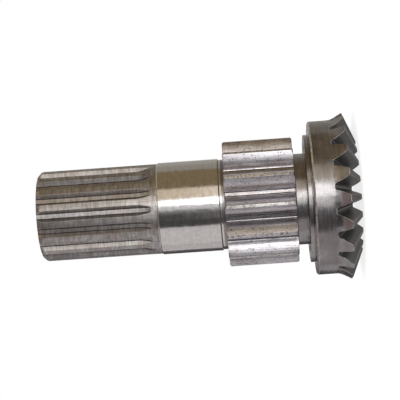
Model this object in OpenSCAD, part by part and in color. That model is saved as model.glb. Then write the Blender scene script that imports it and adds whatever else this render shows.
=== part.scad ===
// Differential side gear: one turned and cut steel piece that stands on its bevel head.
// Z runs along the shaft, from the toes of the bevel teeth up to the free end of the spline.

/* [Shaft] */
// Diameter of the ground bearing journal
journal_d = 42; // [40:0.5:44]
// Length of the ground bearing journal
journal_l = 27.6; // [20:0.2:36]
// Diameter at the bottom of the grinding relief beside the pinion
relief_d = 41; // [38:0.2:41.4]
// Width of the grinding relief
relief_w = 2.7; // [1.5:0.1:4]
// Diameter of the neck between the pinion and the head
neck_d = 41.6; // [38:0.2:44]
// Length of the neck
neck_l = 5.2; // [4:0.2:8]
// Chamfer where the spline's smaller diameter steps up to the journal
journal_edge = 0.4; // [0.2:0.1:0.8]

/* [Spline] */
// Number of spline grooves
spline_count = 17; // [12:1:20]
// Outside diameter of the spline, just under the journal so that a bearing passes over it
spline_d = 41.2; // [38:0.2:41.4]
// Length from the journal to the free end
spline_l = 54.6; // [45:0.2:70]
// Depth of a groove
groove_depth = 1.9; // [1:0.1:2.5]
// Width of a groove at the outside diameter
groove_top_w = 4.8; // [4:0.1:5.4]
// Width of the flat at the bottom of a groove
groove_floor_w = 2.2; // [1.2:0.1:2.6]
// Plain band between the groove ends and the journal
groove_stop = 2.8; // [2:0.2:10]
// Radius of the round cutter that leaves the curved groove ends
groove_cutter_r = 15; // [10:1:40]
// Chamfer on the free end, which runs down almost to the groove floors
spline_end_chamfer = 1.7; // [0.5:0.1:2]
// Turn of the grooves about the shaft
spline_turn = -90; // [-180:0.5:180]

/* [Pinion] */
// Number of pinion teeth
pinion_teeth = 13; // [12:1:14]
// Module of the pinion
pinion_module = 3.5; // [3.4:0.05:3.6]
// Pressure angle of the pinion
pinion_pressure = 20; // [17.5:0.5:22.5]
// Diameter over the tips of the pinion, enlarged as on a pinion of few teeth
pinion_tip_d = 57.2; // [56:0.2:57.4]
// Diameter at the bottom of their gaps
pinion_root_d = 44.4; // [43.6:0.1:45.4]
// Tooth thickness along the pitch circle
pinion_tooth_t = 7.8; // [7.5:0.05:7.9]
// Fillet at the bottom of a gap
pinion_fillet = 1; // [0.6:0.1:1.2]
// Face width of the pinion
pinion_w = 31.7; // [20:0.1:40]
// Chamfer at both ends of the pinion teeth
pinion_chamfer = 0.6; // [0.3:0.1:1.5]
// Turn of the first pinion tooth about the shaft
pinion_turn = -93.1; // [-180:0.1:180]
// Depth of the marks that the gear cutter left in the face across the neck
nick_depth = 0.5; // [0.2:0.1:1]
// Diameter reached by those cutter marks
nick_d = 50.4; // [48:0.2:54]

/* [Head] */
// Diameter of the thrust ring behind the head
ring_d = 58.2; // [56:0.2:62]
// Width of the thrust ring
ring_w = 2.3; // [1.5:0.1:4]
// Width and depth of the groove between ring and rim
ring_groove = 0.5; // [0.3:0.1:0.8]
// Diameter of the rim
rim_d = 70.1; // [69:0.1:71]
// Height of the head, from the toes of the teeth to the back of the rim
head_h = 21.2; // [18:0.2:28]
// Chamfer on the rim's back edge
rim_chamfer = 0.7; // [0.3:0.1:1.5]
// Reach of the blend between the rim and the teeth's back cone
rim_blend = 1.2; // [0.6:0.1:2]
// Depth of the flat front face behind the toes of the teeth
front_recess = 5; // [4.2:0.1:6]

/* [Bevel teeth] */
// Number of bevel teeth
bevel_teeth = 20; // [18:1:22]
// Number of teeth on the mating bevel pinion, which sets the pitch angle
mate_teeth = 11; // [10:1:12]
// Module at the large end
bevel_module = 3.6; // [3.5:0.05:3.7]
// Pressure angle of the bevel teeth
bevel_pressure = 20; // [17.5:0.5:22.5]
// Angle from the pitch cone out to the tips
addendum_angle = 5.85; // [5:0.05:6.5]
// Angle from the pitch cone in to the bottoms of the gaps
dedendum_angle = 4.1; // [3.6:0.05:4.6]
// Face width along the pitch cone
bevel_face_w = 13.8; // [12:0.1:14.4]
// Tooth thickness along the pitch circle at the large end
bevel_tooth_t = 6.6; // [6:0.05:6.9]
// Fillet at the bottom of a bevel gap
bevel_fillet = 0.9; // [0.5:0.1:1.1]
// Height turned off the sharp toes, which leaves the small flats that the head stands on
toe_cut = 0.15; // [0.1:0.05:0.5]
// Turn of the first bevel tooth about the shaft
bevel_turn = -91.7; // [-180:0.1:180]

/* [Centre holes] */
// Diameter of the pilot of each centre hole
centre_pilot_d = 4; // [2:0.5:6]
// Depth of each centre hole
centre_depth = 10; // [6:0.5:16]
// Mouth diameter of the 60 degree countersink
centre_mouth_d = 9; // [7:0.5:14]

/* [Hidden] */
$fn = 96;
STEEL = [0.62, 0.61, 0.59];
CUT_PAST = 2;
FLANK_STEPS = 6;
FILLET_STEPS = 3;
CENTRE_ANGLE = 60;

ring_z = head_h;
neck_z = head_h + ring_w;
pinion_z = neck_z + neck_l;
relief_z = pinion_z + pinion_w;
journal_z = relief_z + relief_w;
spline_z = journal_z + journal_l;
top_z = spline_z + spline_l;

spline_r = spline_d / 2;
journal_r = journal_d / 2;
ring_r = ring_d / 2;
rim_r = rim_d / 2;
pinion_tip_r = pinion_tip_d / 2;
pinion_root_r = pinion_root_d / 2;
pinion_pitch_r = pinion_module * pinion_teeth / 2;
pinion_base_r = pinion_pitch_r * cos(pinion_pressure);

// Bevel cones, all with one apex below the toes.
pitch_angle = atan(bevel_teeth / mate_teeth);
tip_angle = pitch_angle + addendum_angle;
root_angle = pitch_angle - dedendum_angle;
bevel_pitch_r = bevel_module * bevel_teeth / 2;
cone_l = bevel_pitch_r / sin(pitch_angle);
toe_l = cone_l - bevel_face_w;
toe_tip_r = toe_l * sin(tip_angle) / cos(addendum_angle);
apex_z = -toe_cut - toe_tip_r / tan(tip_angle);
pitch_z = apex_z + bevel_pitch_r / tan(pitch_angle);
heel_tip_r = cone_l * sin(tip_angle) / cos(addendum_angle);
heel_tip_z = apex_z + heel_tip_r / tan(tip_angle);

// The large ends of the teeth, unrolled from the back cone into a flat gear.
flat_pitch_r = bevel_pitch_r / cos(pitch_angle);
flat_teeth = bevel_teeth / cos(pitch_angle);
flat_base_r = flat_pitch_r * cos(bevel_pressure);
flat_tip_r = flat_pitch_r + cone_l * tan(addendum_angle);
flat_root_r = flat_pitch_r - cone_l * tan(dedendum_angle);

// Involute function, in degrees.
function involute(a) = tan(a) * 180 / PI - a;

// Half the angle that a tooth covers at radius r.
function tooth_half(r, pitch_r, base_r, pressure, thickness) =
    thickness / 2 / pitch_r * 180 / PI + involute(pressure) - involute(acos(min(1, base_r / r)));

function polar(r, a) = [r * cos(a), r * sin(a)];
function mirrored(points) = [for (i = [len(points) - 1:-1:0]) [points[i].x, -points[i].y]];
function steps(from, to, count) = [for (i = [0:count]) from + (to - from) * i / count];

// Half of a gap's outline, from above the tips down a flank and round the fillet to the floor.
function gap_side(teeth, tip_r, root_r, base_r, pitch_r, pressure, thickness, fillet) =
    let (lean = acos(min(1, base_r / (root_r + fillet / 2))) + 180 / teeth
        - tooth_half(root_r + fillet / 2, pitch_r, base_r, pressure, thickness))
    let (low_r = max(base_r, root_r + fillet * (1 - sin(lean))))
    let (side = [for (r = steps(tip_r + CUT_PAST, low_r, FLANK_STEPS))
        polar(r, 180 / teeth - tooth_half(r, pitch_r, base_r, pressure, thickness))])
    let (floor_y = side[len(side) - 1].y - fillet * cos(lean))
    concat(side, [for (a = steps(lean, 90, FILLET_STEPS))
        [root_r + fillet * (1 - sin(a)), floor_y + fillet * cos(a)]]);

pinion_gap_side = gap_side(pinion_teeth, pinion_tip_r, pinion_root_r, pinion_base_r, pinion_pitch_r,
    pinion_pressure, pinion_tooth_t, pinion_fillet);
bevel_gap_side = gap_side(flat_teeth, flat_tip_r, flat_root_r, flat_base_r, flat_pitch_r,
    bevel_pressure, bevel_tooth_t, bevel_fillet);

// A point of the flat gear, wrapped back on the back cone, as seen from the apex.
function on_back_cone(p) =
    let (r = norm(p))
    let (turn = atan2(p.y, p.x) / cos(pitch_angle))
    let (rim = polar(r * cos(pitch_angle), turn))
    [rim.x, rim.y, pitch_z - apex_z - (r - flat_pitch_r) * sin(pitch_angle)];

// The same point, projected from the apex on a plane square to the pitch line at distance l.
function on_plane(q, l) =
    let (depth = q.x * sin(pitch_angle) + q.z * cos(pitch_angle))
    [q.x * cos(pitch_angle) - q.z * sin(pitch_angle), q.y] * l / depth;

// Radius of the back cone, the tip cone and the front cone at height z.
function back_cone_r(z) = bevel_pitch_r - (z - pitch_z) / tan(pitch_angle);
function tip_cone_r(z) = (z - apex_z) * tan(tip_angle);
function front_cone_r(z) = toe_tip_r - (z + toe_cut) / tan(pitch_angle);

rim_corner_z = pitch_z + (bevel_pitch_r - rim_r) * tan(pitch_angle);

module blank() {
    rotate_extrude()
        polygon([
            [0, front_recess],
            [front_cone_r(front_recess), front_recess],
            [front_cone_r(0), 0],
            [tip_cone_r(0), 0],
            [heel_tip_r, heel_tip_z],
            [back_cone_r(rim_corner_z - rim_blend), rim_corner_z - rim_blend],
            [rim_r, rim_corner_z + rim_blend],
            [rim_r, ring_z - rim_chamfer],
            [rim_r - rim_chamfer, ring_z],
            [ring_r - ring_groove, ring_z],
            [ring_r - ring_groove, ring_z + ring_groove],
            [ring_r, ring_z + ring_groove],
            [ring_r, neck_z],
            [neck_d / 2, neck_z],
            [neck_d / 2, pinion_z],
            [pinion_tip_r - pinion_chamfer, pinion_z],
            [pinion_tip_r, pinion_z + pinion_chamfer],
            [pinion_tip_r, relief_z - pinion_chamfer],
            [pinion_tip_r - pinion_chamfer, relief_z],
            [relief_d / 2, relief_z],
            [relief_d / 2, journal_z - (journal_d - relief_d) / 2],
            [journal_r, journal_z],
            [journal_r, spline_z - journal_edge],
            [spline_r, spline_z - journal_edge + (journal_d - spline_d) / 2],
            [spline_r, top_z - spline_end_chamfer],
            [spline_r - spline_end_chamfer, top_z],
            [0, top_z]
        ]);
}

// One spline groove's cross-section, with its floor at y = 0 and its mouth widened past the outside.
groove_spread = (groove_top_w - groove_floor_w) / 2 / groove_depth;
module groove_section() {
    mouth = groove_depth + CUT_PAST;
    mouth_w = groove_floor_w + 2 * groove_spread * mouth;
    polygon([
        [-groove_floor_w / 2, 0],
        [groove_floor_w / 2, 0],
        [mouth_w / 2, mouth],
        [-mouth_w / 2, mouth]
    ]);
}

// A groove along +X: straight from the free end, then curving out where the round cutter left it.
groove_floor_r = spline_r - groove_depth;
groove_run = sqrt(pow(groove_cutter_r, 2) - pow(groove_cutter_r - groove_depth, 2));
groove_end_z = spline_z + groove_stop + groove_run;
module spline_groove() {
    translate([groove_floor_r, 0, groove_end_z])
        rotate([0, 0, -90])
        linear_extrude(height = top_z - groove_end_z + CUT_PAST) groove_section();
    translate([groove_floor_r + groove_cutter_r, 0, groove_end_z])
        rotate([90, 0, 0])
        rotate([0, 0, 180])
        rotate_extrude(angle = 60)
        translate([groove_cutter_r, 0])
        rotate(90)
        groove_section();
}

module pinion_gap() {
    linear_extrude(height = pinion_w + 2 * CUT_PAST)
        polygon(concat(pinion_gap_side, mirrored(pinion_gap_side)));
}

// The bottom of a gap, repeated as a shallow mark in the ring's face across the neck.
module cutter_nick() {
    translate([0, 0, neck_z - nick_depth])
        linear_extrude(height = nick_depth + CUT_PAST)
        intersection() {
            polygon(concat(pinion_gap_side, mirrored(pinion_gap_side)));
            circle(d = nick_d);
        }
}

// A bevel gap along +X, a wedge whose sides all point to the apex.
wedge_far = cone_l + bevel_face_w / 2;
wedge_near = toe_l - CUT_PAST;
module bevel_gap() {
    side = [for (p = bevel_gap_side) on_plane(on_back_cone(p), wedge_far)];
    translate([0, 0, apex_z])
        rotate([0, pitch_angle, 0])
        translate([0, 0, wedge_far])
        rotate([180, 0, 0])
        linear_extrude(height = wedge_far - wedge_near, scale = wedge_near / wedge_far)
        polygon(concat(side, mirrored(side)));
}

module centre_hole() {
    cone_h = (centre_mouth_d - centre_pilot_d) / 2 / tan(CENTRE_ANGLE / 2);
    rotate_extrude()
        polygon([
            [0, -1],
            [centre_mouth_d / 2, -1],
            [centre_mouth_d / 2, 0],
            [centre_pilot_d / 2, cone_h],
            [centre_pilot_d / 2, centre_depth],
            [0, centre_depth]
        ]);
}

module around(count, turn) {
    for (i = [0:count - 1]) rotate([0, 0, turn + i * 360 / count]) children();
}

module side_gear() {
    color(STEEL)
        difference() {
            blank();
            around(spline_count, spline_turn) spline_groove();
            around(pinion_teeth, pinion_turn + 180 / pinion_teeth) {
                translate([0, 0, pinion_z - CUT_PAST]) pinion_gap();
                cutter_nick();
            }
            around(bevel_teeth, bevel_turn + 180 / bevel_teeth) bevel_gap();
            translate([0, 0, front_recess]) centre_hole();
            translate([0, 0, top_z]) mirror([0, 0, 1]) centre_hole();
        }
}

side_gear();
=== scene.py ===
import math

import bmesh
import bpy
from mathutils import Matrix, Vector


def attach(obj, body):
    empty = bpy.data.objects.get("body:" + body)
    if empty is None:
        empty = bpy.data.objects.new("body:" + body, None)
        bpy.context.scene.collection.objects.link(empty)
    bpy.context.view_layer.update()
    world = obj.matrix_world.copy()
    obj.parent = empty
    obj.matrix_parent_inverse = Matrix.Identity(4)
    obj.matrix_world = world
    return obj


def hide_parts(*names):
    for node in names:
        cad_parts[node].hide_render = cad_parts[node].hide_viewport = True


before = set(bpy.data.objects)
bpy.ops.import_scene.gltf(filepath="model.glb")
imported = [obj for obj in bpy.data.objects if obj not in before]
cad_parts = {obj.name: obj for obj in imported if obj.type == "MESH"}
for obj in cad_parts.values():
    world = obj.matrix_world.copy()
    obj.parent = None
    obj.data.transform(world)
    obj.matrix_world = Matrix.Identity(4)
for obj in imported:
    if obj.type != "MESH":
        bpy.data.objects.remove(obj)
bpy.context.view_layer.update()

# The bevel head. A forged steel disc, turned all over, with 20 straight teeth planed into its front.
# Every tip, flank and gap bottom runs to one point on the axis, so the teeth taper to their toes.
# The gear is one piece: its surface is drawn in bands along the axis, all joined into one skin.

# The worn edge finish is partly a painted highlight, and the corner finish is painted shade.
TURNED, PLANED, WORN_HIGHLIGHT, HOBBED, GROUND, MILLED, CORNER_SHADE = range(7)  # the skin's finishes, in order
PRESSURE = math.radians(20)
BEVEL_TEETH, MATE_TEETH, BEVEL_MODULE, BEVEL_TOOTH_T = 20, 11, 3.6, 6.6  # sizes are in millimetres
BEVEL_TURN = math.radians(-91.7)
BEVEL_TIP, BEVEL_ROOT = math.radians(5.85), math.radians(4.1)  # from the pitch cone, seen at the apex
BEVEL_EDGE, BEVEL_FILLET, TOE_EDGE, HEEL_EDGE = 0.25, 0.9, 0.2, 0.32
TOE_CUT, FACE_W = 0.15, 13.8
RIM_R, RIM_ROUND, HEAD_H, FRONT_Z = 35.05, 4.8, 21.2, 5
CENTRE_R, PILOT_R, CENTRE_DEPTH = 4.5, 2, 10
CENTRE_CONE = (CENTRE_R - PILOT_R) / math.tan(math.radians(30))  # the depth of a 60 degree cone
TURNED_EDGE = 0.12  # the round on a turned edge
BESIDE = 0.06  # a row of points this close to a rounded edge keeps the flat beside it flat
ROUND_STEPS = 144


def rounded(corners, arc_steps=3):
    """A line of points through (x, y, radius) corners, with an arc at each corner that has a radius."""
    line = []
    for i, (x, y, radius) in enumerate(corners):
        here = Vector((x, y))
        if not radius:
            line.append(here)
            continue
        back = Vector(corners[i - 1][:2]) - here
        ahead = Vector(corners[i + 1][:2]) - here
        reach = radius * math.tan((math.pi - back.angle(ahead)) / 2)
        back.normalize()
        ahead.normalize()
        start, end = here + back * reach, here + ahead * reach
        line.append(start + back * BESIDE)
        for k in range(arc_steps + 1):
            f = k / arc_steps
            line.append(start.lerp(here, f).lerp(here.lerp(end, f), f))
        line.append(end + ahead * BESIDE)
    return line


def gap_line(teeth, tip_r, root_r, pitch_r, pressure, thickness, edge, fillet, flank_steps):
    """Half a gap of a flat gear, from the middle of a tip down the flank to the middle of the floor."""
    base_r = pitch_r * math.cos(pressure)
    gap = math.pi / teeth

    def lean_at(r):
        return math.acos(min(1, base_r / r))

    def half(r):
        turn = lean_at(r)
        return thickness / 2 / pitch_r + math.tan(pressure) - pressure - math.tan(turn) + turn

    def polar(r, angle, radius=0):
        return (r * math.cos(angle), r * math.sin(angle), radius)

    low = root_r + fillet / 2
    lean = lean_at(low) + gap - half(low)
    low_r = max(base_r, root_r + fillet * (1 - math.sin(lean)))
    corners = [polar(tip_r, gap), polar(tip_r, gap - half(tip_r), edge)]
    for k in range(1, flank_steps + 1):
        r = tip_r + (low_r - tip_r) * k / flank_steps
        corners.append(polar(r, gap - half(r)))
    line = rounded(corners)
    floor_y = line[-1].y - fillet * math.cos(lean)
    for k in range(1, 4):
        a = lean + (math.pi / 2 - lean) * k / 3
        line.append(Vector((root_r + fillet * (1 - math.sin(a)), floor_y + fillet * math.cos(a))))
    line.append(Vector((root_r, floor_y * 0.85)))  # keeps the floor flat beside the fillet
    line.append(Vector((root_r, 0)))
    return line


def cut_round(rows, finishes, teeth, first_gap):
    """A toothed band: half a gap drawn row by row, mirrored, and repeated round the axis.

    A row lists (angle, radius, height) from the middle of a tip to the middle of a gap. finishes has
    one finish for each pair of rows, or a list with one for each face between them.
    """
    band = bmesh.new()
    seat = band.verts.layers.int.new("seat")  # a point's place in its row, which extruding keeps
    line = []
    for i, (a, r, z) in enumerate(rows[0]):
        line.append(band.verts.new((r * math.cos(a), r * math.sin(a), z)))
        line[i][seat] = i
    edges = [band.edges.new(pair) for pair in zip(line, line[1:])]
    for row, finish in zip(rows[1:], finishes):
        grown = bmesh.ops.extrude_edge_only(band, edges=edges)["geom"]
        line = sorted((v for v in grown if isinstance(v, bmesh.types.BMVert)), key=lambda v: v[seat])
        for vert, (a, r, z) in zip(line, row):
            vert.co = (r * math.cos(a), r * math.sin(a), z)
        edges = [band.edges.get(pair) for pair in zip(line, line[1:])]
        for i, edge in enumerate(edges):
            edge.link_faces[0].material_index = finish[i] if isinstance(finish, list) else finish
    bmesh.ops.mirror(
        band, geom=band.verts[:] + band.edges[:] + band.faces[:], merge_dist=1e-4, axis="Y",
    )
    bmesh.ops.spin(
        band, geom=band.verts[:] + band.edges[:] + band.faces[:], cent=(0, 0, 0), axis=(0, 0, 1),
        angle=2 * math.pi * (teeth - 1) / teeth, steps=teeth - 1, use_duplicate=True,
    )
    bmesh.ops.remove_doubles(band, verts=[v for v in band.verts if v.is_boundary], dist=1e-3)
    bmesh.ops.rotate(band, verts=band.verts, cent=(0, 0, 0), matrix=Matrix.Rotation(first_gap, 3, "Z"))
    return band


def turn_round(line, finish):
    """A turned surface: a profile of (radius, height) points, spun once round the axis."""
    blank = bmesh.new()
    points = [blank.verts.new((r, 0, z)) for r, z in line]
    edges = [blank.edges.new(pair) for pair in zip(points, points[1:])]
    bmesh.ops.spin(
        blank, geom=points + edges, cent=(0, 0, 0), axis=(0, 0, 1),
        angle=2 * math.pi, steps=ROUND_STEPS, use_merge=True,
    )
    pole = [v for v in blank.verts if v.co.xy.length < 1e-3]
    bmesh.ops.remove_doubles(blank, verts=pole, dist=1e-2)
    for face in blank.faces:
        face.material_index = finish
    return blank


bevel_pitch = math.atan(BEVEL_TEETH / MATE_TEETH)
tip_lean = bevel_pitch + BEVEL_TIP
bevel_r = BEVEL_MODULE * BEVEL_TEETH / 2
cone_l = bevel_r / math.sin(bevel_pitch)
toe_tip_r = (cone_l - FACE_W) * math.sin(tip_lean) / math.cos(BEVEL_TIP)
apex_z = -TOE_CUT - toe_tip_r / math.tan(tip_lean)
pitch_z = apex_z + bevel_r / math.tan(bevel_pitch)
heel_r = cone_l * math.sin(tip_lean) / math.cos(BEVEL_TIP)
heel_z = apex_z + heel_r / math.tan(tip_lean)

# The large ends of the teeth as a flat gear, then rolled up on the back cone.
flat_r = bevel_r / math.cos(bevel_pitch)
flat_side = gap_line(
    BEVEL_TEETH / math.cos(bevel_pitch), flat_r + cone_l * math.tan(BEVEL_TIP),
    flat_r - cone_l * math.tan(BEVEL_ROOT), flat_r, PRESSURE,
    BEVEL_TOOTH_T, BEVEL_EDGE, BEVEL_FILLET, flank_steps=4,
)
bevel_side = []  # the angle about the axis and the slope from the apex
for p in flat_side:
    height = pitch_z - apex_z - (p.length - flat_r) * math.sin(bevel_pitch)
    bevel_side.append(
        (math.atan2(p.y, p.x) / math.cos(bevel_pitch), p.length * math.cos(bevel_pitch) / height),
    )

rim_corner_z = pitch_z + (bevel_r - RIM_R) * math.tan(bevel_pitch)
front_r = toe_tip_r - (FRONT_Z + TOE_CUT) / math.tan(bevel_pitch)
# Bands end 0.3 to 0.8 mm apart, and the section on the whole gear bridges them.
teeth_end = (RIM_R, HEAD_H - 3)
heel_line = rounded([(heel_r, heel_z, 0), (RIM_R, rim_corner_z, RIM_ROUND), (*teeth_end, 0)])
toe_line = [
    Vector((-apex_z * math.tan(tip_lean), 0)),
    Vector((toe_tip_r - TOE_CUT / math.tan(bevel_pitch), 0)),
    Vector((front_r, FRONT_Z)),
]


def along(line, way):
    """The point at a distance along a line of points."""
    for a, b in zip(line, line[1:]):
        step = (b - a).length
        if way <= step:
            return a.lerp(b, way / step)
        way -= step
    return line[-1].copy()


def length(line):
    """The length of a line of points."""
    return sum((b - a).length for a, b in zip(line, line[1:]))


def way_to(far, is_before):
    """The distance, up to far, at which a test changes from true to false."""
    low, high = 0, far
    for _ in range(40):
        mid = (low + high) / 2
        if is_before(mid):
            low = mid
        else:
            high = mid
    return low


def end_rows(line, edge, inward):
    """Rows over the rounded end of the teeth: from inside the tooth, over the edge, onto the line."""
    columns = []
    for angle, slope in bevel_side:

        def is_before(way):
            here = along(line, way)
            return here.x > slope * (here.y - apex_z)

        way = way_to(length(line), is_before)
        corner = along(line, way)
        ray = Vector((slope, 1)).normalized() * inward
        inner, outer = corner + ray * edge, along(line, way + edge)
        points = [inner + ray * BESIDE]
        points += [inner.lerp(corner, f).lerp(corner.lerp(outer, f), f) for f in (0, 1 / 3, 2 / 3, 1)]
        points.append(along(line, way + edge + BESIDE))
        columns.append([(angle, *p) for p in points])
    return [list(row) for row in zip(*columns)]


def fan_rows(line, start_row, stop, count):
    """Rows that fan out from the ends of the teeth to one circle of the turned blank."""
    columns = []
    for angle, r, z in start_row:

        def is_before(way):
            here = along(line, way)
            return (here - Vector((r, z))).dot(along(line, way + 1e-3) - here) < 0

        way = way_to(stop, is_before)
        points = [along(line, way + (stop - way) * (k + 1) / count) for k in range(count)]
        columns.append([(angle, *p) for p in points])
    return [list(row) for row in zip(*columns)]


toe_stop = length(toe_line) - 0.8
teeth_start, front_end = along(toe_line, toe_stop), along(toe_line, toe_stop + 0.3)
toe_rows = end_rows(toe_line, TOE_EDGE, inward=1)
heel_rows = end_rows(heel_line, HEEL_EDGE, inward=-1)
toe_fan = fan_rows(toe_line, toe_rows[-1], toe_stop, count=3)
heel_fan = fan_rows(heel_line, heel_rows[-1], length(heel_line), count=7)
length_rows = []
for third in (1, 2, 3):
    length_rows.append([
        (angle, r0 + (r1 - r0) * third / 3, z0 + (z1 - z0) * third / 3)
        for (angle, r0, z0), (_, r1, z1) in zip(toe_rows[0], heel_rows[0])
    ])
# From the middle of a tip to the middle of a gap: the tip stays turned, its edge is worn and painted
# lighter as a highlight, the flank and the gap bottom are planed, and the corner between them is
# painted dark as shade. The rounded ends of the teeth are worn and painted lighter as a highlight too.
across = [TURNED] * 2 + [WORN_HIGHLIGHT] * 3 + [PLANED] * (len(bevel_side) - 9) + [CORNER_SHADE] + [PLANED] * 2
teeth_rows = toe_fan[::-1] + toe_rows[::-1] + length_rows + heel_rows[1:] + heel_fan
teeth_finish = [TURNED] * 3 + [WORN_HIGHLIGHT] * 5 + [across] * 3 + [WORN_HIGHLIGHT] * 4 + [TURNED] * 8
bevel_teeth = cut_round(teeth_rows, teeth_finish, BEVEL_TEETH, BEVEL_TURN + math.pi / BEVEL_TEETH)

front_face = turn_round(rounded([
    (0, FRONT_Z + CENTRE_DEPTH, 0),
    (PILOT_R, FRONT_Z + CENTRE_DEPTH, 0),
    (PILOT_R, FRONT_Z + CENTRE_CONE, 0),
    (CENTRE_R, FRONT_Z, 0.2),
    (11, FRONT_Z, 0),  # splits the wide front face
    (front_r, FRONT_Z, 0.3),
    (*front_end, 0),
]), TURNED)


def linear(code):
    """The linear colour of an sRGB hex value."""
    parts = [int(code[i:i + 2], 16) / 255 for i in (0, 2, 4)]
    return [c / 12.92 if c <= 0.04045 else ((c + 0.055) / 1.055) ** 2.4 for c in parts] + [1]


def add_node(tree, kind, settings, inputs):
    """Adds a node. An input is a value, or the output socket that is linked to it."""
    node = tree.nodes.new(kind)
    for name, value in settings.items():
        setattr(node, name, value)
    for name, value in inputs.items():
        if isinstance(value, bpy.types.NodeSocket):
            tree.links.new(value, node.inputs[name])
        else:
            node.inputs[name].default_value = value
    return node


# Turned steel: cut on a lathe, with a film of old oil. The eye sees a mid-grey metal with fine marks
# round the axis and faint brown clouds. The marks are about 0.6 mm apart, coarser than a real feed.
turned_steel = bpy.data.materials.new("turned steel")
turned_steel.use_nodes = True
tree = turned_steel.node_tree
place = add_node(tree, "ShaderNodeTexCoord", {}, {}).outputs["Object"]
flat = add_node(
    tree, "ShaderNodeVectorMath", {"operation": "MULTIPLY"}, {0: place, 1: (1, 1, 0)},
).outputs[0]
radius = add_node(tree, "ShaderNodeVectorMath", {"operation": "LENGTH"}, {0: flat}).outputs["Value"]
height = add_node(tree, "ShaderNodeSeparateXYZ", {}, {0: place}).outputs["Z"]
# The feed counts height and radius together, so end faces, cones and cylinders all show rings.
feed = add_node(
    tree, "ShaderNodeMath", {"operation": "MULTIPLY_ADD"}, {0: radius, 1: 1.37, 2: height},
).outputs[0]
lift = add_node(tree, "ShaderNodeCombineXYZ", {}, {"Z": feed}).outputs[0]
ring_place = add_node(
    tree, "ShaderNodeVectorMath", {"operation": "MULTIPLY"}, {0: lift, 1: (0, 0, 1000 / 0.6)},
).outputs[0]
round_place = add_node(
    tree, "ShaderNodeVectorMath", {"operation": "MULTIPLY_ADD"},
    {0: flat, 1: (1000 / 16, 1000 / 16, 0), 2: ring_place},
).outputs[0]
marks = add_node(
    tree, "ShaderNodeTexNoise", {},
    {"Vector": round_place, "Scale": 1, "Detail": 2.5, "Roughness": 0.65},
).outputs[0]
clouds = add_node(
    tree, "ShaderNodeTexNoise", {}, {"Vector": place, "Scale": 1000 / 9, "Detail": 4, "Roughness": 0.6},
).outputs[0]
film = add_node(
    tree, "ShaderNodeMapRange", {},
    {"Value": clouds, "From Min": 0.4, "From Max": 0.68, "To Max": 0.75},
).outputs[0]
bare = add_node(
    tree, "ShaderNodeMix", {"data_type": "RGBA"}, {0: marks, 6: linear("787677"), 7: linear("b6b3b4")},
).outputs[2]
tone = add_node(
    tree, "ShaderNodeMix", {"data_type": "RGBA"}, {0: film, 6: bare, 7: linear("766c69")},
).outputs[2]
sheen = add_node(
    tree, "ShaderNodeMapRange", {},
    {"Value": marks, "From Min": 0.3, "From Max": 0.7, "To Min": 0.2, "To Max": 0.3},
).outputs[0]
relief = add_node(
    tree, "ShaderNodeBump", {}, {"Height": marks, "Strength": 1, "Distance": 0.000009},
).outputs[0]
shader = tree.nodes["Principled BSDF"]
shader.inputs["Metallic"].default_value = 1
tree.links.new(tone, shader.inputs["Base Color"])
tree.links.new(sheen, shader.inputs["Roughness"])
tree.links.new(relief, shader.inputs["Normal"])

# Planed steel: flanks cut by a tool that runs to the apex, painted a darker grey than the turned steel
# as painted shade for the gaps between the teeth. The eye sees dark grey with long scratches toward the
# toes. They are about 0.4 mm apart, coarser than real tool marks.
planed_steel = bpy.data.materials.new("planed steel")
planed_steel.use_nodes = True
tree = planed_steel.node_tree
place = add_node(tree, "ShaderNodeTexCoord", {}, {}).outputs["Object"]
TOOTH_WAY = 36  # millimetres from the apex to the middle of the teeth
from_apex = add_node(
    tree, "ShaderNodeVectorMath", {"operation": "SUBTRACT"}, {0: place, 1: (0, 0, apex_z / 1000)},
).outputs[0]
ray = add_node(tree, "ShaderNodeVectorMath", {"operation": "NORMALIZE"}, {0: from_apex}).outputs[0]
away = add_node(tree, "ShaderNodeVectorMath", {"operation": "LENGTH"}, {0: from_apex}).outputs["Value"]
slow = add_node(tree, "ShaderNodeMath", {"operation": "MULTIPLY"}, {0: away, 1: 1000 / 9}).outputs[0]
scratches = add_node(
    tree, "ShaderNodeTexNoise", {"noise_dimensions": "4D"},
    {"Vector": ray, "W": slow, "Scale": TOOTH_WAY / 0.4, "Detail": 3, "Roughness": 0.65},
).outputs[0]
# The dark end of this grey is painted shade for the gaps between the teeth.
tone = add_node(
    tree, "ShaderNodeMix", {"data_type": "RGBA"},
    {0: scratches, 6: linear("484a4c"), 7: linear("bcbdbc")},
).outputs[2]
relief = add_node(
    tree, "ShaderNodeBump", {}, {"Height": scratches, "Strength": 1, "Distance": 0.00001},
).outputs[0]
shader = tree.nodes["Principled BSDF"]
shader.inputs["Metallic"].default_value = 1
shader.inputs["Roughness"].default_value = 0.36
tree.links.new(tone, shader.inputs["Base Color"])
tree.links.new(relief, shader.inputs["Normal"])

# Worn edges: the same steel, rubbed where other parts touch it, on the edges of the bevel teeth, the
# rim and the pinion's tips, and painted lighter there as a highlight where the edges catch the light.
# The eye sees a thin light line with dull spots 1 mm across.
worn_highlight_steel = bpy.data.materials.new("worn edge with painted highlight")
worn_highlight_steel.use_nodes = True
tree = worn_highlight_steel.node_tree
place = add_node(tree, "ShaderNodeTexCoord", {}, {}).outputs["Object"]
spots = add_node(
    tree, "ShaderNodeTexNoise", {}, {"Vector": place, "Scale": 1000 / 1, "Detail": 3},
).outputs[0]
dull = add_node(
    tree, "ShaderNodeMapRange", {}, {"Value": spots, "From Min": 0.45, "From Max": 0.65},
).outputs[0]
tone = add_node(
    # The light colour is partly a painted highlight on the edges.
    tree, "ShaderNodeMix", {"data_type": "RGBA"}, {0: dull, 6: linear("d2cfcc"), 7: linear("8c8987")},
).outputs[2]
shader = tree.nodes["Principled BSDF"]
shader.inputs["Metallic"].default_value = 1
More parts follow.
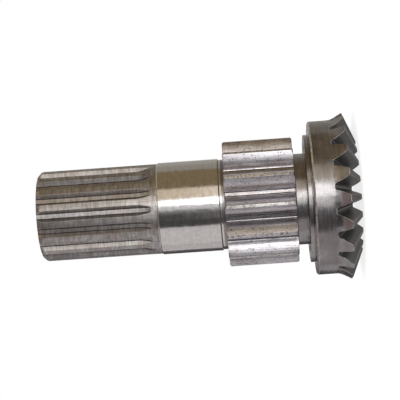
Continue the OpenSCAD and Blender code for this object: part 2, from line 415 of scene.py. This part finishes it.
shader.inputs["Roughness"].default_value = 0.4
tree.links.new(tone, shader.inputs["Base Color"])

# The rim's back and the thrust ring. The rim ends in a small chamfer, and a narrow ring with a groove
# round its foot takes the thrust washer. Both are turned in the same setting as the head.

RING_R, RING_W, GROOVE, RIM_CHAMFER = 29.1, 2.3, 0.5, 0.7
ring_z = HEAD_H + RING_W
rim_start, ring_end = (RIM_R, HEAD_H - 2.6), (RING_R, HEAD_H + 1.1)
rim_back = turn_round(rounded([
    (*rim_start, 0),
    (RIM_R, HEAD_H - RIM_CHAMFER, TURNED_EDGE),
    (RIM_R - RIM_CHAMFER, HEAD_H, TURNED_EDGE),
    (RING_R - GROOVE, HEAD_H, 0.08),
    (RING_R - GROOVE, HEAD_H + GROOVE, 0.08),
    (RING_R, HEAD_H + GROOVE, 0.08),
    (*ring_end, 0),
]), TURNED)
# The rim's chamfer gets the worn edge, with its painted highlight.
for face in rim_back.faces:
    mid = face.calc_center_median()
    if mid.xy.length > RIM_R - RIM_CHAMFER - 0.1 and mid.z > HEAD_H - RIM_CHAMFER - 0.1:
        face.material_index = WORN_HIGHLIGHT

# The pinion and the neck. Thirteen spur teeth are hobbed from the same bar, enlarged so that so few
# teeth aren't undercut, which leaves narrow tips. A short turned neck lies between them and the ring.

PINION_TEETH, PINION_MODULE, PINION_TOOTH_T = 13, 3.5, 7.8
PINION_TURN = math.radians(-93.1)
TIP_R, ROOT_R, PINION_W, PINION_CHAMFER = 28.6, 22.2, 31.7, 0.6
PINION_EDGE, PINION_FILLET = 0.15, 1
NECK_R, NECK_L, RELIEF_R, RELIEF_W = 20.8, 5.2, 20.5, 2.7
NICK_R, NICK_DEPTH = 25.2, 0.5
pinion_z = ring_z + NECK_L
relief_z = pinion_z + PINION_W
spur_side = [(math.atan2(p.y, p.x), p.length) for p in gap_line(
    PINION_TEETH, TIP_R, ROOT_R, PINION_MODULE * PINION_TEETH / 2, PRESSURE,
    PINION_TOOTH_T, PINION_EDGE, PINION_FILLET, flank_steps=6,
)]


def circle_row(side, r, z):
    """A row of one radius and height, under the points of a tooth side."""
    return [(angle, r, z) for angle, *_ in side]


# Each row comes with the finish of the faces between it and the row before.
spur_rows, spur_finish = [], []
spur_start, spur_stop = (RING_R, HEAD_H + 1.5), (RELIEF_R, relief_z + 1)
for p in rounded([(*spur_start, 0), (RING_R, ring_z, TURNED_EDGE), (NICK_R + 0.4, ring_z, 0)]):
    spur_rows.append(circle_row(spur_side, *p))
    spur_finish.append(TURNED)
# The hob left a shallow mark across the ring's face in line with each gap.
for r, deep in ((NICK_R, 0), (NICK_R - 0.1, 1), (ROOT_R + 0.1, 1), (ROOT_R, 0)):
    spur_rows.append([(a, r, ring_z - NICK_DEPTH * deep * (tip < NICK_R)) for a, tip in spur_side])
    spur_finish.append(TURNED)
for p in rounded([
    (NECK_R + 1, ring_z, 0), (NECK_R, ring_z, 0.2), (NECK_R, pinion_z, 0.3), (NECK_R + 1, pinion_z, 0),
]):
    spur_rows.append(circle_row(spur_side, *p))
    spur_finish.append(TURNED)
# Rows over an end of the teeth: how far under the flanks, off the tips and in from the end face.
spur_end = [
    (0.2, PINION_CHAMFER, 0), (0.08, PINION_CHAMFER, 0), (0.03, PINION_CHAMFER - 0.03, 0.03),
    (0, PINION_CHAMFER - 0.1, 0.12), (0, 0.1, PINION_CHAMFER - 0.1), (0, 0.02, PINION_CHAMFER + 0.04),
    (0, 0, PINION_CHAMFER + 0.12),
]
# The pinion's tip edges are worn and painted lighter as a highlight, and the foot of each flank is
# painted dark as shade.
on_teeth = [WORN_HIGHLIGHT] * 5 + [HOBBED] * (len(spur_side) - 9) + [CORNER_SHADE] + [HOBBED] * 2
for shrink, cut, depth in spur_end:
    spur_rows.append([(a, min(r, TIP_R - cut) - shrink, pinion_z + depth) for a, r in spur_side])
    spur_finish.append(TURNED if depth < 0.1 else on_teeth)
for shrink, cut, depth in spur_end[::-1]:
    spur_rows.append([(a, min(r, TIP_R - cut) - shrink, relief_z - depth) for a, r in spur_side])
    spur_finish.append(on_teeth)
for p in rounded([(RELIEF_R + 1.2, relief_z, 0), (RELIEF_R, relief_z, 0.3), (*spur_stop, 0)]):
    spur_rows.append(circle_row(spur_side, *p))
    spur_finish.append(TURNED)
pinion = cut_round(spur_rows, spur_finish[1:], PINION_TEETH, PINION_TURN + math.pi / PINION_TEETH)

# Hobbed steel: flanks generated by a hob, used and lightly pitted. The eye sees a bright, grainy
# grey with lines along the teeth and dark specks. The lines are about 0.5 mm apart, specks 0.7 mm.
hobbed_steel = bpy.data.materials.new("hobbed steel")
hobbed_steel.use_nodes = True
tree = hobbed_steel.node_tree
place = add_node(tree, "ShaderNodeTexCoord", {}, {}).outputs["Object"]
long_place = add_node(
    tree, "ShaderNodeVectorMath", {"operation": "MULTIPLY"},
    {0: place, 1: (1000 / 0.5, 1000 / 0.5, 1000 / 11)},
).outputs[0]
lines = add_node(
    tree, "ShaderNodeTexNoise", {}, {"Vector": long_place, "Scale": 1, "Detail": 2, "Roughness": 0.6},
).outputs[0]
grain = add_node(
    tree, "ShaderNodeTexNoise", {},
    {"Vector": place, "Scale": 1000 / 0.7, "Detail": 2.5, "Roughness": 0.7},
).outputs[0]
pits = add_node(
    tree, "ShaderNodeMapRange", {}, {"Value": grain, "From Min": 0.57, "From Max": 0.67},
).outputs[0]
clouds = add_node(
    tree, "ShaderNodeTexNoise", {}, {"Vector": place, "Scale": 1000 / 8, "Detail": 3, "Roughness": 0.6},
).outputs[0]
stain = add_node(
    tree, "ShaderNodeMapRange", {}, {"Value": clouds, "From Min": 0.45, "From Max": 0.7, "To Max": 0.6},
).outputs[0]
bare = add_node(
    tree, "ShaderNodeMix", {"data_type": "RGBA"}, {0: lines, 6: linear("86848a"), 7: linear("e2dfe1")},
).outputs[2]
stained = add_node(
    tree, "ShaderNodeMix", {"data_type": "RGBA"}, {0: stain, 6: bare, 7: linear("938789")},
).outputs[2]
tone = add_node(
    tree, "ShaderNodeMix", {"data_type": "RGBA"}, {0: pits, 6: stained, 7: linear("3f3b3c")},
).outputs[2]
worked = add_node(
    tree, "ShaderNodeMath", {"operation": "MULTIPLY_ADD"}, {0: grain, 1: -1.2, 2: lines},
).outputs[0]
relief = add_node(
    tree, "ShaderNodeBump", {}, {"Height": worked, "Strength": 1, "Distance": 0.00003},
).outputs[0]
shader = tree.nodes["Principled BSDF"]
shader.inputs["Metallic"].default_value = 1
shader.inputs["Roughness"].default_value = 0.28
tree.links.new(tone, shader.inputs["Base Color"])
tree.links.new(relief, shader.inputs["Normal"])

# The journal. The band that the bearing runs on is ground bright between centres. A shallow turned
# relief beside the pinion lets the grinding wheel run out, and a small edge leads to the spline.

JOURNAL_R, JOURNAL_L, JOURNAL_EDGE, SPLINE_R, RELIEF_SLOPE = 21, 27.6, 0.4, 20.6, 0.5
journal_z = relief_z + RELIEF_W
spline_z = journal_z + JOURNAL_L
journal_start, journal_end = (RELIEF_R, relief_z + 1.4), (SPLINE_R, spline_z + 0.2)
journal = turn_round(rounded([
    (*journal_start, 0),
    (RELIEF_R, journal_z - RELIEF_SLOPE, TURNED_EDGE),
    (JOURNAL_R, journal_z, TURNED_EDGE),
    (JOURNAL_R, spline_z - JOURNAL_EDGE, TURNED_EDGE),
    (SPLINE_R, spline_z, TURNED_EDGE),
    (*journal_end, 0),
]), GROUND)

# Ground steel: fine wheel marks round the axis, dulled by use. The eye sees a smooth pale metal with
# a soft bright band. The marks are about 0.5 mm apart, much coarser than a wheel leaves them.
ground_steel = bpy.data.materials.new("ground steel")
ground_steel.use_nodes = True
tree = ground_steel.node_tree
place = add_node(tree, "ShaderNodeTexCoord", {}, {}).outputs["Object"]
ring_place = add_node(
    tree, "ShaderNodeVectorMath", {"operation": "MULTIPLY"},
    {0: place, 1: (1000 / 25, 1000 / 25, 1000 / 0.5)},
).outputs[0]
marks = add_node(
    tree, "ShaderNodeTexNoise", {}, {"Vector": ring_place, "Scale": 1, "Detail": 2, "Roughness": 0.6},
).outputs[0]
mottle = add_node(
    tree, "ShaderNodeTexNoise", {},
    {"Vector": place, "Scale": 1000 / 2, "Detail": 4, "Roughness": 0.65},
).outputs[0]
mixed = add_node(
    tree, "ShaderNodeMath", {"operation": "MULTIPLY_ADD"}, {0: marks, 1: 0.4, 2: mottle},
).outputs[0]
shade = add_node(
    tree, "ShaderNodeMapRange", {}, {"Value": mixed, "From Min": 0.5, "From Max": 0.9},
).outputs[0]
tone = add_node(
    tree, "ShaderNodeMix", {"data_type": "RGBA"}, {0: shade, 6: linear("c4c1c0"), 7: linear("d4d1ce")},
).outputs[2]
sheen = add_node(
    tree, "ShaderNodeMapRange", {},
    {"Value": mottle, "From Min": 0.3, "From Max": 0.7, "To Min": 0.1, "To Max": 0.16},
).outputs[0]
worked = add_node(
    tree, "ShaderNodeMath", {"operation": "MULTIPLY_ADD"}, {0: mottle, 1: 40, 2: marks},
).outputs[0]
relief = add_node(
    tree, "ShaderNodeBump", {}, {"Height": worked, "Strength": 1, "Distance": 0.000001},
).outputs[0]
shader = tree.nodes["Principled BSDF"]
shader.inputs["Metallic"].default_value = 1
tree.links.new(tone, shader.inputs["Base Color"])
tree.links.new(sheen, shader.inputs["Roughness"])
tree.links.new(relief, shader.inputs["Normal"])

# The spline. A round cutter milled 17 grooves from the free end, and each runs out in a curve before
# the journal, so that a bearing can pass over the lands. The free end has a chamfer and a centre.

SPLINES, SPLINE_TURN, SPLINE_L, END_CHAMFER = 17, math.radians(-90), 54.6, 1.7
DEPTH, FLOOR_W, TOP_W, CUTTER_R, STOP = 1.9, 2.2, 4.8, 15, 2.8
GROOVE_EDGE, GROOVE_FILLET, LEAST_DEPTH, RUN_STEPS = 0.14, 0.3, 0.004, 13
top_z = spline_z + SPLINE_L
run = math.sqrt(CUTTER_R ** 2 - (CUTTER_R - DEPTH) ** 2)
spread = (TOP_W - FLOOR_W) / 2 / DEPTH


def groove_row(depth, z, cap=SPLINE_R):
    """A row across half a land and half a groove of that depth."""
    depth = max(depth, LEAST_DEPTH)  # keeps the points of a row apart where the groove starts
    wall = min(1, depth / 0.6)  # a shallow groove has smaller rounds
    top = FLOOR_W / 2 + spread * depth
    row = []
    for p in rounded([
        (SPLINE_R, SPLINE_R * math.pi / SPLINES, 0),
        (SPLINE_R, top, GROOVE_EDGE * wall + 0.001),
        (SPLINE_R - depth, FLOOR_W / 2, GROOVE_FILLET * wall + 0.001),
        (SPLINE_R - depth, 0, 0),
    ], 2):
        # The land is round and the floor is flat, so a point is rolled round more the higher it lies.
        lean = (p.x - SPLINE_R + depth) / depth
        on_top = lean > 0.999
        angle = p.y / SPLINE_R if on_top else math.atan2(p.y, p.x)
        r = p.x if on_top else math.hypot(p.x, p.y * (1 - lean))
        row.append((angle, min(r, cap), z))
    return row


flat_row = groove_row(0, 0)  # the points of a row on a plain band
groove_z = spline_z + STOP
spline_start, spline_stop, face_start = (SPLINE_R, spline_z + 1), (18.3, top_z), (17.8, top_z)
spline_rows = [circle_row(flat_row, *spline_start)]
for k in range(RUN_STEPS + 1):
    # The first rows are closer, because the groove's outline curves most at its tip.
    way = run * (1 - math.cos(k / RUN_STEPS * math.pi / 2)) if k < 3 else run * k / RUN_STEPS
    depth = DEPTH - (CUTTER_R - math.sqrt(CUTTER_R ** 2 - (run - way) ** 2))
    spline_rows.append(groove_row(depth, groove_z + way))
spline_rows.append(groove_row(DEPTH, groove_z + run + 1))
for cut, back in (
    (0, END_CHAMFER + 0.1), (0.04, END_CHAMFER), (END_CHAMFER - 0.1, 0.14), (END_CHAMFER, 0.04),
):
    spline_rows.append(groove_row(DEPTH, top_z - back, SPLINE_R - cut))
last_row = groove_row(DEPTH, top_z, SPLINE_R - END_CHAMFER - 0.05)
spline_rows.append([(a, r - 0.15, z) for a, r, z in last_row])
spline_rows.append(circle_row(flat_row, *spline_stop))
# From the middle of a land to the middle of a groove: the inside corner is painted dark as shade.
cut_across = [MILLED] * 6 + [CORNER_SHADE] * 4 + [MILLED]
spline_finish = [MILLED] + [cut_across] * (len(spline_rows) - 3) + [TURNED]
spline = cut_round(spline_rows, spline_finish, SPLINES, SPLINE_TURN)
free_end = turn_round(rounded([
    (*face_start, 0),
    (CENTRE_R, top_z, 0.2),
    (PILOT_R, top_z - CENTRE_CONE, 0),
    (PILOT_R, top_z - CENTRE_DEPTH, 0),
    (0, top_z - CENTRE_DEPTH, 0),
]), TURNED)

# Milled steel: cut along the shaft, with brown stains of old oil. The eye sees a grey metal with
# streaks along the grooves and faint feed marks across them, about 0.8 mm apart.
milled_steel = bpy.data.materials.new("milled steel")
milled_steel.use_nodes = True
tree = milled_steel.node_tree
place = add_node(tree, "ShaderNodeTexCoord", {}, {}).outputs["Object"]
long_place = add_node(
    tree, "ShaderNodeVectorMath", {"operation": "MULTIPLY"},
    {0: place, 1: (1000 / 0.5, 1000 / 0.5, 1000 / 14)},
).outputs[0]
streaks = add_node(
    tree, "ShaderNodeTexNoise", {}, {"Vector": long_place, "Scale": 1, "Detail": 3, "Roughness": 0.6},
).outputs[0]
clouds = add_node(
    tree, "ShaderNodeTexNoise", {}, {"Vector": place, "Scale": 1000 / 7, "Detail": 4, "Roughness": 0.6},
).outputs[0]
stain = add_node(
    tree, "ShaderNodeMapRange", {},
    {"Value": clouds, "From Min": 0.42, "From Max": 0.68, "To Max": 0.7},
).outputs[0]
bare = add_node(
    tree, "ShaderNodeMix", {"data_type": "RGBA"},
    {0: streaks, 6: linear("82807f"), 7: linear("c6c3c1")},
).outputs[2]
tone = add_node(
    tree, "ShaderNodeMix", {"data_type": "RGBA"}, {0: stain, 6: bare, 7: linear("978b86")},
).outputs[2]
feed_place = add_node(
    tree, "ShaderNodeVectorMath", {"operation": "MULTIPLY"},
    {0: place, 1: (1000 / 4.5, 1000 / 4.5, 1000 / 0.8)},
).outputs[0]
feed = add_node(
    tree, "ShaderNodeTexNoise", {}, {"Vector": feed_place, "Scale": 1, "Detail": 2, "Roughness": 0.6},
).outputs[0]
ticks = add_node(
    tree, "ShaderNodeMapRange", {},
    {"Value": feed, "From Min": 0.35, "From Max": 0.65, "To Min": 0.72, "To Max": 1.2},
).outputs[0]
ticked = add_node(
    tree, "ShaderNodeVectorMath", {"operation": "SCALE"}, {0: tone, "Scale": ticks},
).outputs[0]
worked = add_node(tree, "ShaderNodeMath", {"operation": "ADD"}, {0: streaks, 1: feed}).outputs[0]
relief = add_node(
    tree, "ShaderNodeBump", {}, {"Height": worked, "Strength": 1, "Distance": 0.00001},
).outputs[0]
shader = tree.nodes["Principled BSDF"]
shader.inputs["Metallic"].default_value = 1
shader.inputs["Roughness"].default_value = 0.41
tree.links.new(ticked, shader.inputs["Base Color"])
tree.links.new(relief, shader.inputs["Normal"])

# Painted corner shade: the inside corners at the feet of the teeth and in the grooves are painted dark,
# in place of the shade deep in the gaps and grooves. The eye sees thin dark lines along the teeth and
# the grooves, in patches 2 mm across.
corner_shade_steel = bpy.data.materials.new("painted corner shade")
corner_shade_steel.use_nodes = True
tree = corner_shade_steel.node_tree
place = add_node(tree, "ShaderNodeTexCoord", {}, {}).outputs["Object"]
shade_patches = add_node(
    tree, "ShaderNodeTexNoise", {},
    {"Vector": place, "Scale": 1000 / 2, "Detail": 4, "Roughness": 0.65},
).outputs[0]
thin = add_node(
    tree, "ShaderNodeMapRange", {}, {"Value": shade_patches, "From Min": 0.45, "From Max": 0.7},
).outputs[0]
# Both greys are painted shade for the inside corners.
tone = add_node(
    tree, "ShaderNodeMix", {"data_type": "RGBA"}, {0: thin, 6: linear("2b2829"), 7: linear("524e4d")},
).outputs[2]
shader = tree.nodes["Principled BSDF"]
shader.inputs["Metallic"].default_value = 1
shader.inputs["Roughness"].default_value = 0.5
tree.links.new(tone, shader.inputs["Base Color"])

# The whole gear. The bands are joined into one closed skin, as the real gear is one bar of steel, and
# the skin stands for the whole CAD solid.

skin = bmesh.new()
side_gear_mesh = bpy.data.meshes.new("side_gear_skin")
for band in (front_face, bevel_teeth, rim_back, pinion, journal, spline, free_end):
    band.to_mesh(side_gear_mesh)
    band.free()
    skin.from_mesh(side_gear_mesh)


def open_circle(r, z):
    """The open edges of the skin on one circle round the axis."""
    return [
        e for e in skin.edges if e.is_boundary
        and all(abs(v.co.xy.length - r) < 0.02 and abs(v.co.z - z) < 0.02 for v in e.verts)
    ]


for one, other, finish in (
    (front_end, teeth_start, TURNED),
    (teeth_end, rim_start, TURNED),
    (ring_end, spur_start, TURNED),
    (spur_stop, journal_start, TURNED),
    (journal_end, spline_start, MILLED),
    (spline_stop, face_start, TURNED),
):
    bridge = bmesh.ops.bridge_loops(skin, edges=open_circle(*one) + open_circle(*other))
    for face in bridge["faces"]:
        face.material_index = finish
bmesh.ops.scale(skin, vec=(0.001, 0.001, 0.001), verts=skin.verts)  # to metres
bmesh.ops.recalc_face_normals(skin, faces=skin.faces)
for face in skin.faces:
    face.smooth = True
skin.to_mesh(side_gear_mesh)
skin.free()
for material in (
    turned_steel, planed_steel, worn_highlight_steel, hobbed_steel, ground_steel, milled_steel, corner_shade_steel,
):
    side_gear_mesh.materials.append(material)
side_gear = bpy.data.objects.new("side_gear_skin", side_gear_mesh)
bpy.context.scene.collection.objects.link(side_gear)
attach(side_gear, "root")
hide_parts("side_gear")

# The floor. White paper that lies flat under the standing gear and keeps a faint shadow. Its mottle of
# fibres is drawn 1.1 mm coarse. Part of its white is glow, for the camera and for reflections only, so
# the paper stays white without more light.

scene = bpy.context.scene
scene.view_settings.view_transform = "Standard"


def seen_in(tree):
    """One for rays from the camera, reflections and clear parts, and zero for the rest."""
    path = add_node(tree, "ShaderNodeLightPath", {}, {}).outputs
    seen = add_node(tree, "ShaderNodeMath", {}, {0: path["Is Camera Ray"], 1: path["Is Glossy Ray"]})
    return add_node(
        tree, "ShaderNodeMath", {}, {0: seen.outputs[0], 1: path["Is Transmission Ray"]},
    ).outputs[0]


paper = bpy.data.materials.new("white paper")
paper.use_nodes = True
tree = paper.node_tree
tree.nodes.clear()
glow = add_node(
    tree, "ShaderNodeMath", {"operation": "MULTIPLY"}, {0: seen_in(tree), 1: 0.8},
).outputs[0]
light = add_node(
    tree, "ShaderNodeEmission", {}, {"Color": linear("ffffff"), "Strength": glow},
).outputs[0]
place = add_node(tree, "ShaderNodeTexCoord", {}, {}).outputs["Object"]
fibre = add_node(tree, "ShaderNodeTexNoise", {}, {"Vector": place, "Scale": 1000 / 1.1}).outputs[0]
sheet_tone = add_node(
    tree, "ShaderNodeMix", {"data_type": "RGBA"}, {0: fibre, 6: linear("8a8a89"), 7: linear("8f8f8e")},
).outputs[2]
matt = add_node(tree, "ShaderNodeBsdfDiffuse", {}, {"Color": sheet_tone}).outputs[0]
both = add_node(tree, "ShaderNodeAddShader", {}, {0: matt, 1: light}).outputs[0]
add_node(tree, "ShaderNodeOutputMaterial", {}, {"Surface": both})
sheet = bmesh.new()
bmesh.ops.create_grid(sheet, x_segments=1, y_segments=1, size=6)
floor_mesh = bpy.data.meshes.new("floor")
sheet.to_mesh(floor_mesh)
sheet.free()
floor_mesh.materials.append(paper)
floor = bpy.data.objects.new("floor", floor_mesh)
scene.collection.objects.link(floor)

# The light. A soft lamp above gives the shadow on the paper. Steel shows its surroundings, so cards and
# flags stand all round the gear, outside the picture, and only reflections see them: white ones in
# front, brown ones on the side that is up in the picture, dark and pale ones on the side that is down.

world = bpy.data.worlds.new("studio")
scene.world = world
world.use_nodes = True
tree = world.node_tree
strength = add_node(
    tree, "ShaderNodeMath", {"operation": "MULTIPLY_ADD"}, {0: seen_in(tree), 1: 0.2, 2: 0.8},
).outputs[0]
backdrop = tree.nodes["Background"]
backdrop.inputs["Color"].default_value = (1, 1, 1, 1)
tree.links.new(strength, backdrop.inputs["Strength"])

lamp_data = bpy.data.lights.new("soft lamp", "AREA")
lamp_data.size = 0.8  # metres
lamp_data.energy = 4  # watts
lamp = bpy.data.objects.new("soft lamp", lamp_data)
lamp.location = (0, 0, 1.1)
lamp.visible_glossy = False
scene.collection.objects.link(lamp)

# Each card is a slice: its profile of (radius, height) points is turned from one angle to another. The
# angles are in degrees from the camera's side, toward the side that is up in the picture.
DRUM = ((0.15, 0.0001), (1.2, 0.0001), (1.2, 1.2))  # lies on the paper, then rises as a wall
LOW_BOARD = ((0.15, 0.0004), (1.19, 0.0004), (1.19, 0.09))
LOW_WALL = ((1.19, 0.0004), (1.19, 0.09))
STRIP = ((0.15, 0.0004), (1.2, 0.0004))
MAT = ((0.004, 0.0001), (0.15, 0.0001))  # round the foot of the gear
OVER = ((0.004, 1.2), (0.4, 1.2))  # straight above the gear
ROUND_OVER = ((0.4, 1.2), (1.2, 1.2))
DEGREES_A_STEP = 6
for name, profile, low, high, colour, strength in (
    ("white card", DRUM, 5, 20, "ffffff", 1.8),
    ("cream card", DRUM, 20, 48, "e6d5ba", 1),
    ("brown card", DRUM, 48, 104, "8b7b60", 1),
    ("warm grey card", DRUM, 104, 128, "a59f96", 1),
    ("pale back card", DRUM, 128, 160, "b0aca4", 1),
    ("back card", DRUM, 160, 184, "c6c6c4", 1),
    ("front card", DRUM, -7, 5, "dcdcde", 1),
    ("grey card", DRUM, -15, -7, "7d7b7c", 1),
    ("dark card", DRUM, -50, -15, "4f4d4d", 1),
    ("bright low card", DRUM, -104, -50, "dfdbdc", 1),
    ("low card", DRUM, -136, -104, "d0cccd", 1),
    ("dark back card", DRUM, -176, -136, "575355", 1),
    ("strong white board", LOW_BOARD, 4, 20, "ffffff", 5),
    ("low cream board", LOW_WALL, 24, 48, "f4ece2", 1.5),
    ("low grey board", LOW_WALL, -32, -7, "8f8d8e", 1),
    ("white strip", STRIP, -12, 5, "ffffff", 3),
    ("grey strip", STRIP, -44, -12, "6e6c6c", 1),
    ("mat", MAT, 0, 360, "8f8c8b", 1),
    ("grey flag", OVER, 0, 360, "959393", 1),
    ("pink flag", ROUND_OVER, -200, 22, "a8948e", 1),
    ("cream flag", ROUND_OVER, 22, 160, "c4b89e", 1),
):
    glow = bpy.data.materials.new(name)
    glow.use_nodes = True
    tree = glow.node_tree
    tree.nodes.clear()
    light = add_node(
        tree, "ShaderNodeEmission", {}, {"Color": linear(colour), "Strength": strength},
    ).outputs[0]
    add_node(tree, "ShaderNodeOutputMaterial", {}, {"Surface": light})
    board = bmesh.new()
    start = math.radians(low - 90)
    corners = [board.verts.new((r * math.cos(start), r * math.sin(start), z)) for r, z in profile]
    edges = [board.edges.new(pair) for pair in zip(corners, corners[1:])]
    bmesh.ops.spin(
        board, geom=corners + edges, cent=(0, 0, 0), axis=(0, 0, 1),
        angle=math.radians(high - low), steps=max(1, (high - low) // DEGREES_A_STEP),
        use_merge=high - low == 360,
    )
    card_mesh = bpy.data.meshes.new(name)
    board.to_mesh(card_mesh)
    board.free()
    card_mesh.materials.append(glow)
    card = bpy.data.objects.new(name.replace(" ", "_"), card_mesh)
    for kind in ("camera", "diffuse", "shadow", "transmission", "volume_scatter"):
        setattr(card, "visible_" + kind, False)
    scene.collection.objects.link(card)

# The camera. It looks square at the side of the standing gear and is rolled, so that the shaft lies
# from left to right in the picture. Its lens, place and angles are fitted to the gear's outline.

FOCAL_LENGTH, PICTURE_W = 1460.39, 400  # in pixels
camera_data = bpy.data.cameras.new("camera")
camera_data.sensor_width = 36
camera_data.lens = camera_data.sensor_width * FOCAL_LENGTH / PICTURE_W
camera_data.clip_start = 0.01
camera = bpy.data.objects.new("camera", camera_data)
scene.collection.objects.link(camera)
camera_place = (0, -0.66938, 0.04602)
yaw, pitch, roll = -0.0391, 0.0041, 0.0693


def to_part(x, y, z):
    """A direction of the photo's own frame, x right, y away, z up, in the part's frame."""
    return Vector((z, y, -x))


ahead = Vector((math.sin(yaw), math.cos(yaw), 0)) * math.cos(pitch) + Vector((0, 0, math.sin(pitch)))
right = Vector((math.cos(yaw), -math.sin(yaw), 0))
up = Vector((0, 0, math.cos(pitch))) - Vector((math.sin(yaw), math.cos(yaw), 0)) * math.sin(pitch)
image_right = right * math.cos(roll) - up * math.sin(roll)
image_up = right * math.sin(roll) + up * math.cos(roll)
axes = Matrix([to_part(*image_right), to_part(*image_up), to_part(*-ahead)]).transposed()
camera.matrix_world = Matrix.Translation(camera_place) @ axes.to_4x4()
scene.camera = camera
